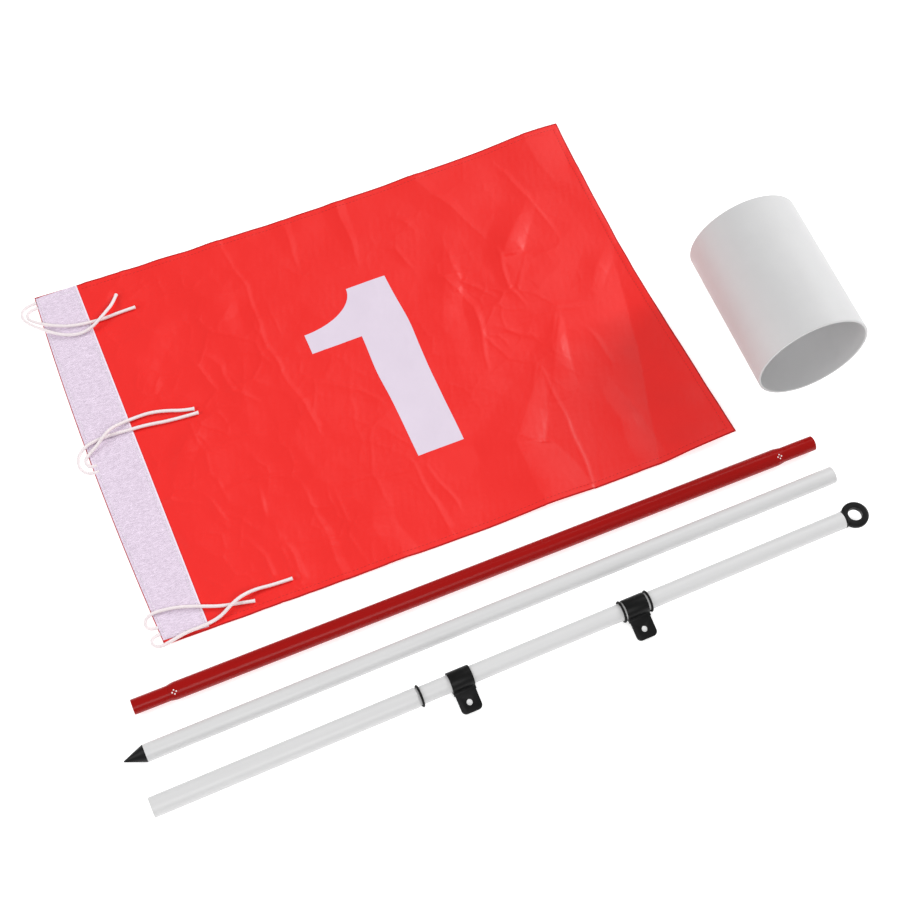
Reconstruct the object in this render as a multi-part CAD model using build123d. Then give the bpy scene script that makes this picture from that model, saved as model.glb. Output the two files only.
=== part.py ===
from build123d import *
from math import cos, pi, radians, sin, tan
import os

# A backyard golf flagstick kit, knocked down and laid out flat: a numbered flag with three
# pairs of tie cords, a three-section pole and a hole sleeve. Sizes in mm, +Z up, and
# every piece rests on z = 0. X runs along the poles, from the spike to the eye.

# --- Flag ---
FLAG_LENGTH = 510.0
FLAG_HEIGHT = 362.0
FLAG_CENTRE_X = -35.8
FLAG_CENTRE_Y = 72.0
CLOTH_THICKNESS = 1.0
HEADER_WIDTH = 37.5
HEADER_THICKNESS = 0.9
HEADER_SETBACK = 1.0
NUMERAL_THICKNESS = 0.25

# --- Numeral 1: a stem with a flag-shaped arm, measured from the stem's lower left corner ---
NUMERAL_X = -36.5
NUMERAL_Y = -24.5
STEM_WIDTH = 42.0
NUMERAL_HEIGHT = 181.5
STEM_TOP_INSET = 5.0
ARM_REACH = 46.5
ARM_TOP = 150.5
ARM_DEPTH = 20.6

# --- Tie cords ---
CORD_DIAMETER = 3.0
CORD_FILLET_SHARE = 0.45

# --- Pole sections ---
TUBE_RADIUS = 7.4
TUBE_BORE_RADIUS = 6.2
TUBE_LIP = 0.3
SOCKET_RADIUS = 6.5
SOCKET_DEPTH = 34.0
SHANK_CLEARANCE = 0.05

MIDDLE_POLE_LENGTH = 606.5
MIDDLE_POLE_X = -331.0
MIDDLE_POLE_Y = -147.1
FERRULE_RADIUS = 6.4
FERRULE_BORE_RADIUS = 5.4
FERRULE_EXPOSED = 30.5
FERRULE_HIDDEN = 40.0
FERRULE_LIP = 0.8
ROLLED_END_LENGTH = 5.0
ROLLED_END_STEP = 0.2
CRIMP_RADIUS = 3.0
CRIMP_DEPTH = 0.7
CRIMP_INSET = 4.0
CRIMP_ANGLES = (117.0, 237.0, 357.0)

LOWER_POLE_X = -333.7
LOWER_POLE_Y = -186.9
LOWER_POLE_YAW = 0.6
LOWER_TUBE_LENGTH = 610.0
SPIKE_LENGTH = 17.5
SPIKE_POINT_RADIUS = 0.5
SPIKE_SHANK_LENGTH = 25.0

UPPER_POLE_X = -343.2
UPPER_POLE_Y = -230.8
UPPER_POLE_YAW = 0.85
UPPER_TUBE_LENGTH = 605.7
THICK_RADIUS = 8.3
THICK_LENGTH = 220.8
STEP_LENGTH = 2.0

# --- Eye plug on the upper pole's top end ---
EYE_OUTER_RADIUS = 11.6
EYE_HOLE_RADIUS = 6.0
EYE_THICKNESS = 5.0
EYE_EDGE_ROUND = 1.8
EYE_CENTRE_GAP = 11.7
EYE_FLANGE_RADIUS = 7.3
EYE_FLANGE_LENGTH = 1.6
EYE_NECK_WIDTH = 11.0
EYE_SHANK_LENGTH = 22.0

# --- Rubber stop rings ---
RING_SECTION_RADIUS = 0.95
RING_CLEARANCE = 0.05
LOWER_RING_X = 223.9
UPPER_RING_LOW_X = 401.3
UPPER_RING_HIGH_X = 425.1

# --- Strap clips ---
STRAP_THICKNESS = 1.3
STRAP_CLEARANCE = 0.1
STRAP_SPLIT = 0.2
BAND_WIDTH = 19.0
TAB_WIDTH = 17.6
TAB_REACH = 27.7
TAB_CORNER_RADIUS = 4.0
TAB_HOLE_RADIUS = 2.5
TAB_HOLE_REACH = 19.5
NECK_ROUND = 2.5
TAB_DROOP = 16.3
LOWER_CLIP_X = 258.6
UPPER_CLIP_X = 413.2

# --- Hole sleeve, lying on its side with its near mouth towards -Y ---
CUP_RADIUS = 50.5
CUP_WALL = 2.2
CUP_LENGTH = 137.0
CUP_LIP = 0.7
CUP_MOUTH_X = 297.0
CUP_MOUTH_Y = -92.5
CUP_YAW = 88.5

# Worked out from the above
FLAG_HOIST_X = FLAG_CENTRE_X - FLAG_LENGTH / 2
MIDDLE_TUBE_LENGTH = MIDDLE_POLE_LENGTH - 2 * FERRULE_EXPOSED
SHANK_RADIUS = TUBE_BORE_RADIUS - SHANK_CLEARANCE
RING_RADIUS = TUBE_RADIUS + RING_CLEARANCE + RING_SECTION_RADIUS
UPPER_POLE_Z = RING_RADIUS + RING_SECTION_RADIUS
BAND_BORE = TUBE_RADIUS + STRAP_CLEARANCE
BAND_RADIUS = BAND_BORE + STRAP_THICKNESS


# --- Cord routes: each tail starts at its stitching on the hoist edge and ends in a cut end ---
TIE_ROUTES = {
    "tie_top_a": [
        (FLAG_HOIST_X, 245.0, 1.6), (-299.0, 245.0, 1.6), (-303.3, 237.4, 3.0),
        (-298.0, 229.6, 4.4), (-287.0, 221.6, 4.5), (-272.0, 214.2, 4.3),
        (-256.0, 211.0, 4.2), (-239.5, 210.4, 3.2), (-225.0, 211.6, 2.9),
        (-211.0, 211.4, 2.9),
    ],
    "tie_top_b": [
        (FLAG_HOIST_X, 250.5, 1.6), (-301.5, 250.5, 1.6), (-307.8, 241.0, 2.2),
        (-303.5, 230.6, 3.6), (-293.0, 218.8, 4.6), (-280.0, 207.6, 4.5),
        (-265.5, 202.2, 4.3), (-253.5, 203.4, 6.4), (-244.0, 207.8, 9.0),
        (-235.8, 213.6, 9.0), (-228.6, 221.2, 5.4), (-222.6, 230.4, 3.0),
    ],
    "tie_middle_a": [
        (FLAG_HOIST_X, 66.8, 1.6), (-299.8, 66.8, 1.6), (-305.8, 75.0, 1.8),
        (-304.0, 85.2, 2.8), (-296.4, 92.2, 4.2), (-285.6, 94.8, 4.4),
        (-273.0, 95.4, 4.3), (-257.5, 94.0, 4.2), (-239.5, 93.2, 3.2),
        (-218.5, 89.2, 2.9), (-194.8, 87.6, 2.9),
    ],
    "tie_middle_b": [
        (FLAG_HOIST_X, 73.0, 1.6), (-297.2, 73.0, 1.6), (-299.6, 79.6, 3.2),
        (-293.8, 84.4, 4.6), (-286.0, 87.8, 6.4), (-278.4, 92.2, 10.0),
        (-270.6, 97.6, 10.0), (-260.5, 101.6, 6.0), (-247.5, 103.6, 3.6),
        (-233.5, 103.8, 3.0), (-219.0, 100.0, 2.9), (-206.5, 94.6, 2.9),
        (-196.8, 92.6, 2.9),
    ],
    "tie_bottom_a": [
        (FLAG_HOIST_X, -88.0, 1.6), (-297.8, -88.0, 1.6), (-300.2, -81.0, 3.0),
        (-294.6, -76.0, 4.4), (-284.5, -75.8, 4.5), (-269.5, -78.4, 4.3),
        (-254.5, -84.2, 4.2), (-238.5, -90.6, 3.2), (-223.6, -93.8, 2.9),
        (-210.4, -97.0, 2.9),
    ],
    "tie_bottom_b": [
        (FLAG_HOIST_X, -94.2, 1.6), (-297.8, -94.2, 1.6), (-300.4, -101.2, 3.0),
        (-294.8, -106.2, 4.4), (-285.0, -104.6, 4.5), (-271.0, -101.8, 4.3),
        (-255.0, -102.2, 4.3), (-241.0, -100.2, 4.8), (-230.0, -95.4, 9.0),
        (-219.6, -91.2, 9.0), (-206.5, -88.2, 4.6), (-191.5, -89.6, 3.0),
        (-175.4, -90.2, 2.9),
    ],
}


def lay(solid, x, y, z, yaw):
    """Put a piece built along +X from its own origin where it lies on the ground."""
    return Pos(x, y, z) * Rot(0, 0, yaw) * solid


def turned(profile):
    """Spin a closed outline of (distance along X, radius) points about the X axis."""
    outline = make_face(Polyline(*[(x, r) for x, r in profile], close=True))
    return revolve(outline, axis=Axis.X)


# --- Flag pieces ---
def flag_cloth():
    panel = Box(FLAG_LENGTH, FLAG_HEIGHT, CLOTH_THICKNESS, align=(Align.CENTER, Align.CENTER, Align.MIN))
    return Pos(FLAG_CENTRE_X, FLAG_CENTRE_Y, 0) * panel


def header_webbing():
    height = FLAG_HEIGHT - 2 * HEADER_SETBACK
    band = Box(HEADER_WIDTH, height, HEADER_THICKNESS, align=(Align.MIN, Align.CENTER, Align.MIN))
    return Pos(FLAG_HOIST_X + HEADER_SETBACK, FLAG_CENTRE_Y, CLOTH_THICKNESS) * band


def flag_numeral():
    """The figure 1, cut from thin transfer film. A quarter ellipse joins the arm to the stem's top."""
    stem_top = (STEM_TOP_INSET, NUMERAL_HEIGHT)
    arm_tip = (-ARM_REACH, ARM_TOP)
    arm_underside = ARM_TOP - ARM_DEPTH
    hollow = EllipticalCenterArc(
        (-ARM_REACH, NUMERAL_HEIGHT), ARM_REACH + STEM_TOP_INSET, NUMERAL_HEIGHT - ARM_TOP, 270,
        arc_size=90,
    )
    rest = Polyline(
        arm_tip, (-ARM_REACH, arm_underside), (0, arm_underside), (0, 0), (STEM_WIDTH, 0),
        (STEM_WIDTH, NUMERAL_HEIGHT), stem_top,
    )
    film = extrude(make_face(hollow + rest), NUMERAL_THICKNESS)
    return Pos(NUMERAL_X, NUMERAL_Y, CLOTH_THICKNESS) * film


def cord_radii(points):
    """The largest arc that the two runs at each corner of a cord's route leave room for."""
    corners = [Vector(*point) for point in points]
    radii = []
    for before, corner, after in zip(corners, corners[1:], corners[2:]):
        run_in = corner - before
        run_out = after - corner
        half_turn = radians(run_in.get_angle(run_out)) / 2
        shorter = min(run_in.length, run_out.length)
        radii.append(CORD_FILLET_SHARE * shorter / tan(half_turn))
    return radii


def tie_cord(points):
    """One limp tail: a tube of straight runs joined by tangent arcs."""
    path = FilletPolyline(*points, radius=cord_radii(points))
    start = Plane(origin=path @ 0, z_dir=path % 0)
    return sweep(start * Circle(CORD_DIAMETER / 2), path=path)


# --- Middle pole ---
def middle_pole_tube():
    """A tube rolled down at both ends to meet its ferrules, with crimp dents that hold them."""
    end = MIDDLE_TUBE_LENGTH
    rolled = ROLLED_END_LENGTH
    rolled_radius = FERRULE_RADIUS + ROLLED_END_STEP
    tube = turned([
        (0, TUBE_BORE_RADIUS), (0, rolled_radius), (rolled, TUBE_RADIUS), (end - rolled, TUBE_RADIUS),
        (end, rolled_radius), (end, TUBE_BORE_RADIUS),
    ])
    dent_centre = TUBE_RADIUS + CRIMP_RADIUS - CRIMP_DEPTH
    for x in (CRIMP_INSET, end - CRIMP_INSET):
        for angle in CRIMP_ANGLES:
            across = dent_centre * cos(radians(angle))
            up = dent_centre * sin(radians(angle))
            tube -= Pos(x, across, up) * Sphere(CRIMP_RADIUS)
    return tube


def ferrule():
    """The joining spigot: its buried stretch points to -X, and its fuller exposed one to +X."""
    hidden = -FERRULE_HIDDEN
    tip = FERRULE_EXPOSED
    return turned([
        (hidden, FERRULE_BORE_RADIUS), (hidden, SHANK_RADIUS), (0, SHANK_RADIUS), (0, FERRULE_RADIUS),
        (tip - FERRULE_LIP, FERRULE_RADIUS), (tip, FERRULE_RADIUS - FERRULE_LIP / 2),
        (tip, FERRULE_BORE_RADIUS),
    ])


# --- Lower pole ---
def lower_pole_tube():
    """A plain tube with its outer edges broken, and its far end reamed out as a socket."""
    broken = TUBE_RADIUS - TUBE_LIP
    end = LOWER_TUBE_LENGTH
    seat = end - SOCKET_DEPTH
    return turned([
        (0, TUBE_BORE_RADIUS), (0, broken), (TUBE_LIP, TUBE_RADIUS), (end - TUBE_LIP, TUBE_RADIUS),
        (end, broken), (end, SOCKET_RADIUS), (seat, SOCKET_RADIUS), (seat, TUBE_BORE_RADIUS),
    ])


def spike_tip():
    """A cone that caps the tube's ground end, on a shank that fills the bore."""
    return turned([
        (-SPIKE_LENGTH, 0), (-SPIKE_LENGTH, SPIKE_POINT_RADIUS), (0, TUBE_RADIUS), (0, SHANK_RADIUS),
        (SPIKE_SHANK_LENGTH, SHANK_RADIUS), (SPIKE_SHANK_LENGTH, 0),
    ])


# --- Upper pole ---
def upper_pole_tube():
    """Thick-walled up to the lower stop ring, then stepped down to the common tube."""
    step = THICK_LENGTH + STEP_LENGTH
    end = UPPER_TUBE_LENGTH
    return turned([
        (0, SOCKET_RADIUS), (0, THICK_RADIUS - TUBE_LIP), (TUBE_LIP, THICK_RADIUS),
        (THICK_LENGTH, THICK_RADIUS), (step, TUBE_RADIUS), (end, TUBE_RADIUS), (end, TUBE_BORE_RADIUS),
        (SOCKET_DEPTH, TUBE_BORE_RADIUS), (SOCKET_DEPTH, SOCKET_RADIUS),
    ])


def eye_plug():
    """A flat ring on a neck and flange, with a shank that plugs the tube. Origin on the tube's end."""
    shank = Rot(0, -90, 0) * Cylinder(
        SHANK_RADIUS, EYE_SHANK_LENGTH, align=(Align.CENTER, Align.CENTER, Align.MIN)
    )
    flange = Rot(0, 90, 0) * Cylinder(
        EYE_FLANGE_RADIUS, EYE_FLANGE_LENGTH, align=(Align.CENTER, Align.CENTER, Align.MIN)
    )
    neck = Box(
        EYE_CENTRE_GAP, EYE_NECK_WIDTH, EYE_THICKNESS, align=(Align.MIN, Align.CENTER, Align.CENTER)
    )
    disc = Cylinder(EYE_OUTER_RADIUS, EYE_THICKNESS)
    disc = fillet(disc.edges(), EYE_EDGE_ROUND)
    hole = Cylinder(EYE_HOLE_RADIUS, 2 * EYE_THICKNESS)
    return shank + flange + neck + Pos(EYE_CENTRE_GAP, 0, 0) * disc - Pos(EYE_CENTRE_GAP, 0, 0) * hole


def stop_ring():
    return Rot(0, 90, 0) * Torus(RING_RADIUS, RING_SECTION_RADIUS)


def strap_clip():
    """One strap bent round the pole, with its two ends laid together as a tab towards -Y."""
    tab_half = STRAP_THICKNESS + STRAP_SPLIT / 2
    neck_start = BAND_BORE + STRAP_THICKNESS / 2
    tab_outline = Pos(-neck_start, 0) * Rectangle(
        TAB_REACH - neck_start, 2 * tab_half, align=(Align.MAX, Align.CENTER)
    )
    section = Circle(BAND_RADIUS) + tab_outline
    inner_corners = [
        v for v in section.vertices() if abs(abs(v.Y) - tab_half) < 0.01 and v.X > -BAND_RADIUS
    ]
    section = fillet(inner_corners, NECK_ROUND)
    slit = Rectangle(TAB_REACH + 1, STRAP_SPLIT, align=(Align.MAX, Align.CENTER))
    section = section - Circle(BAND_BORE) - slit
    # The section's own X points at the tab, so it is stood up across the pole.
    strap = Pos(-BAND_WIDTH / 2, 0, 0) * extrude(Plane.YZ * section, BAND_WIDTH)
    return trim_tab(strap)


def trim_tab(strap):
    """Narrow the tab, round its two free corners and punch its hole."""
    spare = (BAND_WIDTH - TAB_WIDTH) / 2
    shoulder = BAND_RADIUS + NECK_ROUND
    depth = 4 * STRAP_THICKNESS
    for side in (-1, 1):
        edge = Box(spare, TAB_REACH - shoulder, depth, align=(Align.CENTER, Align.MAX, Align.CENTER))
        strap -= Pos(side * (BAND_WIDTH - spare) / 2, -shoulder, 0) * edge
    corner = TAB_CORNER_RADIUS
    for side in (-1, 1):
        x = side * (TAB_WIDTH / 2 - corner)
        y = -(TAB_REACH - corner)
        waste = Box(corner, corner, depth, align=(Align.MIN, Align.MAX, Align.CENTER))
        waste = waste - Cylinder(corner, depth)
        if side < 0:
            waste = mirror(waste, about=Plane.YZ)
        strap -= Pos(x, y, 0) * waste
    return strap - Pos(0, -TAB_HOLE_REACH, 0) * Cylinder(TAB_HOLE_RADIUS, depth)


def on_upper_pole(solid, along, turn=0.0):
    """Slide a piece onto the upper pole, this far from its ground end."""
    fitted = Pos(along, 0, 0) * Rot(turn, 0, 0) * solid
    return lay(fitted, UPPER_POLE_X, UPPER_POLE_Y, UPPER_POLE_Z, UPPER_POLE_YAW)


# --- Hole sleeve ---
def cup_sleeve():
    inner = CUP_RADIUS - CUP_WALL
    lip = CUP_RADIUS - CUP_LIP
    return turned([
        (0, inner), (0, lip), (CUP_LIP, CUP_RADIUS), (CUP_LENGTH - CUP_LIP, CUP_RADIUS),
        (CUP_LENGTH, lip), (CUP_LENGTH, inner),
    ])


def build():
    middle_left = MIDDLE_POLE_X + FERRULE_EXPOSED
    pieces = {
        "flag_cloth": flag_cloth(),
        "header_webbing": header_webbing(),
        "flag_numeral": flag_numeral(),
        "middle_pole_tube": lay(middle_pole_tube(), middle_left, MIDDLE_POLE_Y, TUBE_RADIUS, 0),
        "middle_ferrule_low": lay(ferrule(), middle_left, MIDDLE_POLE_Y, TUBE_RADIUS, 180),
        "middle_ferrule_high": lay(
            ferrule(), middle_left + MIDDLE_TUBE_LENGTH, MIDDLE_POLE_Y, TUBE_RADIUS, 0
        ),
        "lower_pole_tube": lay(
            lower_pole_tube(), LOWER_POLE_X, LOWER_POLE_Y, TUBE_RADIUS, LOWER_POLE_YAW
        ),
        "spike_tip": lay(spike_tip(), LOWER_POLE_X, LOWER_POLE_Y, TUBE_RADIUS, LOWER_POLE_YAW),
        "upper_pole_tube": on_upper_pole(upper_pole_tube(), 0),
        "eye_plug": on_upper_pole(eye_plug(), UPPER_TUBE_LENGTH),
        "lower_stop_ring": on_upper_pole(stop_ring(), LOWER_RING_X),
        "lower_clip": on_upper_pole(strap_clip(), LOWER_CLIP_X, TAB_DROOP),
        "upper_stop_ring_low": on_upper_pole(stop_ring(), UPPER_RING_LOW_X),
        "upper_stop_ring_high": on_upper_pole(stop_ring(), UPPER_RING_HIGH_X),
        "upper_clip": on_upper_pole(strap_clip(), UPPER_CLIP_X, TAB_DROOP),
        "cup_sleeve": lay(cup_sleeve(), CUP_MOUTH_X, CUP_MOUTH_Y, CUP_RADIUS, CUP_YAW),
    }
    for name, points in TIE_ROUTES.items():
        pieces[name] = tie_cord(points)
    return pieces


def report_cord(name, points, solid):
    """Print a cord's tightest radii, its tube length and its volume against that length."""
    path = FilletPolyline(*points, radius=cord_radii(points))
    ideal = pi * (CORD_DIAMETER / 2) ** 2 * path.length
    radii = " ".join(f"{radius:.1f}" for radius in cord_radii(points))
    print(f"{name}: length {path.length:.1f}, volume share {solid.volume / ideal:.4f}, radii {radii}")


def main():
    os.makedirs("parts", exist_ok=True)
    pieces = build()
    for name, solid in pieces.items():
        export_step(solid, f"parts/{name}.step")
    for name, points in TIE_ROUTES.items():
        report_cord(name, points, pieces[name])


main()
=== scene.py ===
from math import atan2, cos, hypot, pi, radians, sin, tan

import bmesh
import bpy
import numpy as np
from mathutils import Matrix, Vector


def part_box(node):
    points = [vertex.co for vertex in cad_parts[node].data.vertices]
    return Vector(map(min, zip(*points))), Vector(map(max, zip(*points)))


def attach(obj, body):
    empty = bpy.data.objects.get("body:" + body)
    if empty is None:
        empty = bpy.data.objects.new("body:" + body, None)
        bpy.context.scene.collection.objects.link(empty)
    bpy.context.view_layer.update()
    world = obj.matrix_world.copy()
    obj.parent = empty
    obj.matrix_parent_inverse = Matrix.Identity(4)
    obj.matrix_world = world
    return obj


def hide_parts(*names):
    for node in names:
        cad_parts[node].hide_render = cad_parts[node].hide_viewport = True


# The looks of a knocked-down golf flagstick kit, laid out flat around its CAD frame. Metres, +Z up.

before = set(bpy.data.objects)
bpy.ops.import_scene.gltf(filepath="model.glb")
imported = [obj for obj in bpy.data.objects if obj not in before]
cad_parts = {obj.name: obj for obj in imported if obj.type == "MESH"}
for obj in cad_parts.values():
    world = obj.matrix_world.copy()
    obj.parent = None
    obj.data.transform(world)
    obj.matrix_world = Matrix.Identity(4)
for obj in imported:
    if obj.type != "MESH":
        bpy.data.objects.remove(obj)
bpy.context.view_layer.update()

# --- Tie cords: the design's routes, from the stitching on the hoist edge to the cut ends ---
CORD_DIAMETER = 0.003
HOIST_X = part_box("flag_cloth")[0].x
TIE_ROUTES = {
    "tie_top_a": [
        (HOIST_X, 0.2450, 0.0016), (-0.2990, 0.2450, 0.0016), (-0.3033, 0.2374, 0.0030),
        (-0.2980, 0.2296, 0.0044), (-0.2870, 0.2216, 0.0045), (-0.2720, 0.2142, 0.0043),
        (-0.2560, 0.2110, 0.0042), (-0.2395, 0.2104, 0.0032), (-0.2250, 0.2116, 0.0029),
        (-0.2110, 0.2114, 0.0029),
    ],
    "tie_top_b": [
        (HOIST_X, 0.2505, 0.0016), (-0.3015, 0.2505, 0.0016), (-0.3078, 0.2410, 0.0022),
        (-0.3035, 0.2306, 0.0036), (-0.2930, 0.2188, 0.0046), (-0.2800, 0.2076, 0.0045),
        (-0.2655, 0.2022, 0.0043), (-0.2535, 0.2034, 0.0064), (-0.2440, 0.2078, 0.0090),
        (-0.2358, 0.2136, 0.0090), (-0.2286, 0.2212, 0.0054), (-0.2226, 0.2304, 0.0030),
    ],
    "tie_middle_a": [
        (HOIST_X, 0.0668, 0.0016), (-0.2998, 0.0668, 0.0016), (-0.3058, 0.0750, 0.0018),
        (-0.3040, 0.0852, 0.0028), (-0.2964, 0.0922, 0.0042), (-0.2856, 0.0948, 0.0044),
        (-0.2730, 0.0954, 0.0043), (-0.2575, 0.0940, 0.0042), (-0.2395, 0.0932, 0.0032),
        (-0.2185, 0.0892, 0.0029), (-0.1948, 0.0876, 0.0029),
    ],
    "tie_middle_b": [
        (HOIST_X, 0.0730, 0.0016), (-0.2972, 0.0730, 0.0016), (-0.2996, 0.0796, 0.0032),
        (-0.2938, 0.0844, 0.0046), (-0.2860, 0.0878, 0.0064), (-0.2784, 0.0922, 0.0100),
        (-0.2706, 0.0976, 0.0100), (-0.2605, 0.1016, 0.0060), (-0.2475, 0.1036, 0.0036),
        (-0.2335, 0.1038, 0.0030), (-0.2190, 0.1000, 0.0029), (-0.2065, 0.0946, 0.0029),
        (-0.1968, 0.0926, 0.0029),
    ],
    "tie_bottom_a": [
        (HOIST_X, -0.0880, 0.0016), (-0.2978, -0.0880, 0.0016), (-0.3002, -0.0810, 0.0030),
        (-0.2946, -0.0760, 0.0044), (-0.2845, -0.0758, 0.0045), (-0.2695, -0.0784, 0.0043),
        (-0.2545, -0.0842, 0.0042), (-0.2385, -0.0906, 0.0032), (-0.2236, -0.0938, 0.0029),
        (-0.2104, -0.0970, 0.0029),
    ],
    "tie_bottom_b": [
        (HOIST_X, -0.0942, 0.0016), (-0.2978, -0.0942, 0.0016), (-0.3004, -0.1012, 0.0030),
        (-0.2948, -0.1062, 0.0044), (-0.2850, -0.1046, 0.0045), (-0.2710, -0.1018, 0.0043),
        (-0.2550, -0.1022, 0.0043), (-0.2410, -0.1002, 0.0048), (-0.2300, -0.0954, 0.0090),
        (-0.2196, -0.0912, 0.0090), (-0.2065, -0.0882, 0.0046), (-0.1915, -0.0896, 0.0030),
        (-0.1754, -0.0902, 0.0029),
    ],
}


# --- mesh helpers ---
SAME_PLACE = 1e-6
FLAT_ANGLE = 0.5
EDGE_ANGLE = 35
EDGE_SEGMENTS = 3
END_SLICE = 0.001


def add_object(name, data):
    """Put new data into the scene as an object."""
    item = bpy.data.objects.new(name, data)
    bpy.context.scene.collection.objects.link(item)
    return item


def add_bmesh(name, bm):
    """Turn a finished bmesh into an object."""
    mesh = bpy.data.meshes.new(name)
    bm.to_mesh(mesh)
    bm.free()
    return add_object(name, mesh)


def evaluated_mesh(item):
    """The mesh that an object's curve or modifiers come to."""
    graph = bpy.context.evaluated_depsgraph_get()
    return bpy.data.meshes.new_from_object(item.evaluated_get(graph))


def add_mesh(name, verts, faces, sharp_angle=None):
    """A smooth-shaded mesh object, with edges sharper than sharp_angle degrees kept crisp."""
    mesh = bpy.data.meshes.new(name)
    mesh.from_pydata([tuple(v) for v in verts], [], [tuple(f) for f in faces])
    mesh.shade_smooth()
    if sharp_angle is not None:
        mesh.set_sharp_from_angle(angle=radians(sharp_angle))
    return add_object(name, mesh)


def grid_faces(rows, columns, wrap_columns=False, wrap_rows=False, start=0):
    """Quads over a grid of vertices that is stored row by row, from the vertex numbered start."""
    faces = []
    for i in range(rows if wrap_rows else rows - 1):
        low = start + i * columns
        high = start + (i + 1) % rows * columns
        for j in range(columns if wrap_columns else columns - 1):
            k = (j + 1) % columns
            faces.append((low + j, low + k, high + k, high + j))
    return faces


def add_slab(name, x, y, top, under):
    """A thin closed sheet between two heights over one grid of plan places, closed by a rim."""
    sides = [np.stack([x, y, z], axis=-1).reshape(-1, 3) for z in (top, under)]
    faces = grid_faces(*x.shape)
    faces += [tuple(v + x.size for v in face[::-1]) for face in faces]
    index = np.arange(x.size).reshape(x.shape)
    rim = np.concatenate([index[0], index[1:, -1], index[-1, -2::-1], index[-2:0:-1, 0]]).tolist()
    faces += [(b, a, a + x.size, b + x.size) for a, b in zip(rim, rim[1:] + rim[:1])]
    return add_mesh(name, np.concatenate(sides), faces)


def rounded(outline, corner_radii, steps=5):
    """The outline of (along, radius) points with each corner turned into an arc."""
    points = [Vector(p) for p in outline]
    result = []
    for i, corner in enumerate(points):
        radius = corner_radii.get(i, 0)
        if not radius:
            result.append(tuple(corner))
            continue
        to_before = (points[i - 1] - corner).normalized()
        to_after = (points[(i + 1) % len(points)] - corner).normalized()
        half = to_before.angle(to_after) / 2
        setback = radius / tan(half)
        centre = corner + (to_before + to_after).normalized() * (radius / sin(half))
        first = (corner + to_before * setback - centre).normalized()
        last = (corner + to_after * setback - centre).normalized()
        for step in range(steps + 1):
            result.append(tuple(centre + first.slerp(last, step / steps) * radius))
    return result


def lathe(name, profile, segments, sharp_angle=40):
    """Spin a closed outline of (distance along X, radius) points about the X axis."""
    turns = [2 * pi * k / segments for k in range(segments)]
    verts = [(x, radius * cos(turn), radius * sin(turn)) for x, radius in profile for turn in turns]
    faces = grid_faces(len(profile), segments, wrap_columns=True, wrap_rows=True)
    return add_mesh(name, verts, faces, sharp_angle)


def axis_of(node):
    """A matrix whose X axis runs along a turned CAD piece from its low-X end, and the piece's length."""
    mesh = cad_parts[node].data
    points = np.unique(np.round([tuple(v.co) for v in mesh.vertices], 6), axis=0)
    low_end = points[points[:, 0] < points[:, 0].min() + END_SLICE].mean(axis=0)
    high_end = points[points[:, 0] > points[:, 0].max() - END_SLICE].mean(axis=0)
    along = (high_end - low_end) / np.linalg.norm(high_end - low_end)
    reach = (points - low_end) @ along
    start = low_end + along * reach.min()
    way = Vector(along)
    across = Vector((0, 0, 1)).cross(way).normalized()
    upward = way.cross(across)
    turn = Matrix((way, across, upward)).transposed().to_4x4()
    return Matrix.Translation(Vector(start)) @ turn, float(reach.max() - reach.min())


def put(piece, matrix):
    """Move a piece's own vertices, so that its object stays at the origin."""
    piece.data.transform(matrix)
    piece.data.update()
    return piece


def paint(piece, material):
    """Make a whole piece of one material."""
    piece.data.materials.clear()
    piece.data.materials.append(material)


def finish_piece(piece, body, slot, material, *nodes):
    """Say what a piece rides on, stands for and is made of."""
    paint(piece, material)
    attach(piece, body)
    if nodes:
        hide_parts(*nodes)
    return piece


def softened(node, name, width):
    """A copy of a CAD piece with its sharp edges rounded over, as a moulding has them."""
    bm = bmesh.new()
    bm.from_mesh(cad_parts[node].data)
    bmesh.ops.remove_doubles(bm, verts=bm.verts, dist=SAME_PLACE)
    bmesh.ops.dissolve_limit(bm, angle_limit=radians(FLAT_ANGLE), verts=bm.verts, edges=bm.edges)
    piece = add_bmesh(name, bm)
    bevel = piece.modifiers.new("edge_round", "BEVEL")
    bevel.width = width
    bevel.segments = EDGE_SEGMENTS
    bevel.limit_method = "ANGLE"
    bevel.angle_limit = radians(EDGE_ANGLE)
    bevel.use_clamp_overlap = True
    mesh = evaluated_mesh(piece)
    piece.modifiers.clear()
    piece.data = mesh
    mesh.shade_smooth()
    mesh.set_sharp_from_angle(angle=radians(EDGE_ANGLE))
    return piece


# --- camera ---
CAMERA_PLACE = (-0.29465, -0.70139, 1.3551)
CAMERA_TARGET = (-0.00935, -0.02925, 0.0)
CAMERA_LENS = 72.23


def aim(item, place, target):
    """Stand a camera or a lamp at a place and turn it to face a target."""
    item.location = place
    item.rotation_euler = (Vector(target) - Vector(place)).to_track_quat("-Z", "Y").to_euler()


def add_camera():
    """The camera, high up in front of the layout."""
    camera = add_object("camera", bpy.data.cameras.new("camera"))
    camera.data.lens = CAMERA_LENS
    aim(camera, CAMERA_PLACE, CAMERA_TARGET)
    bpy.context.scene.camera = camera


# --- materials ---
WEAVE_SCALE = 1 / 0.0011


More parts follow.
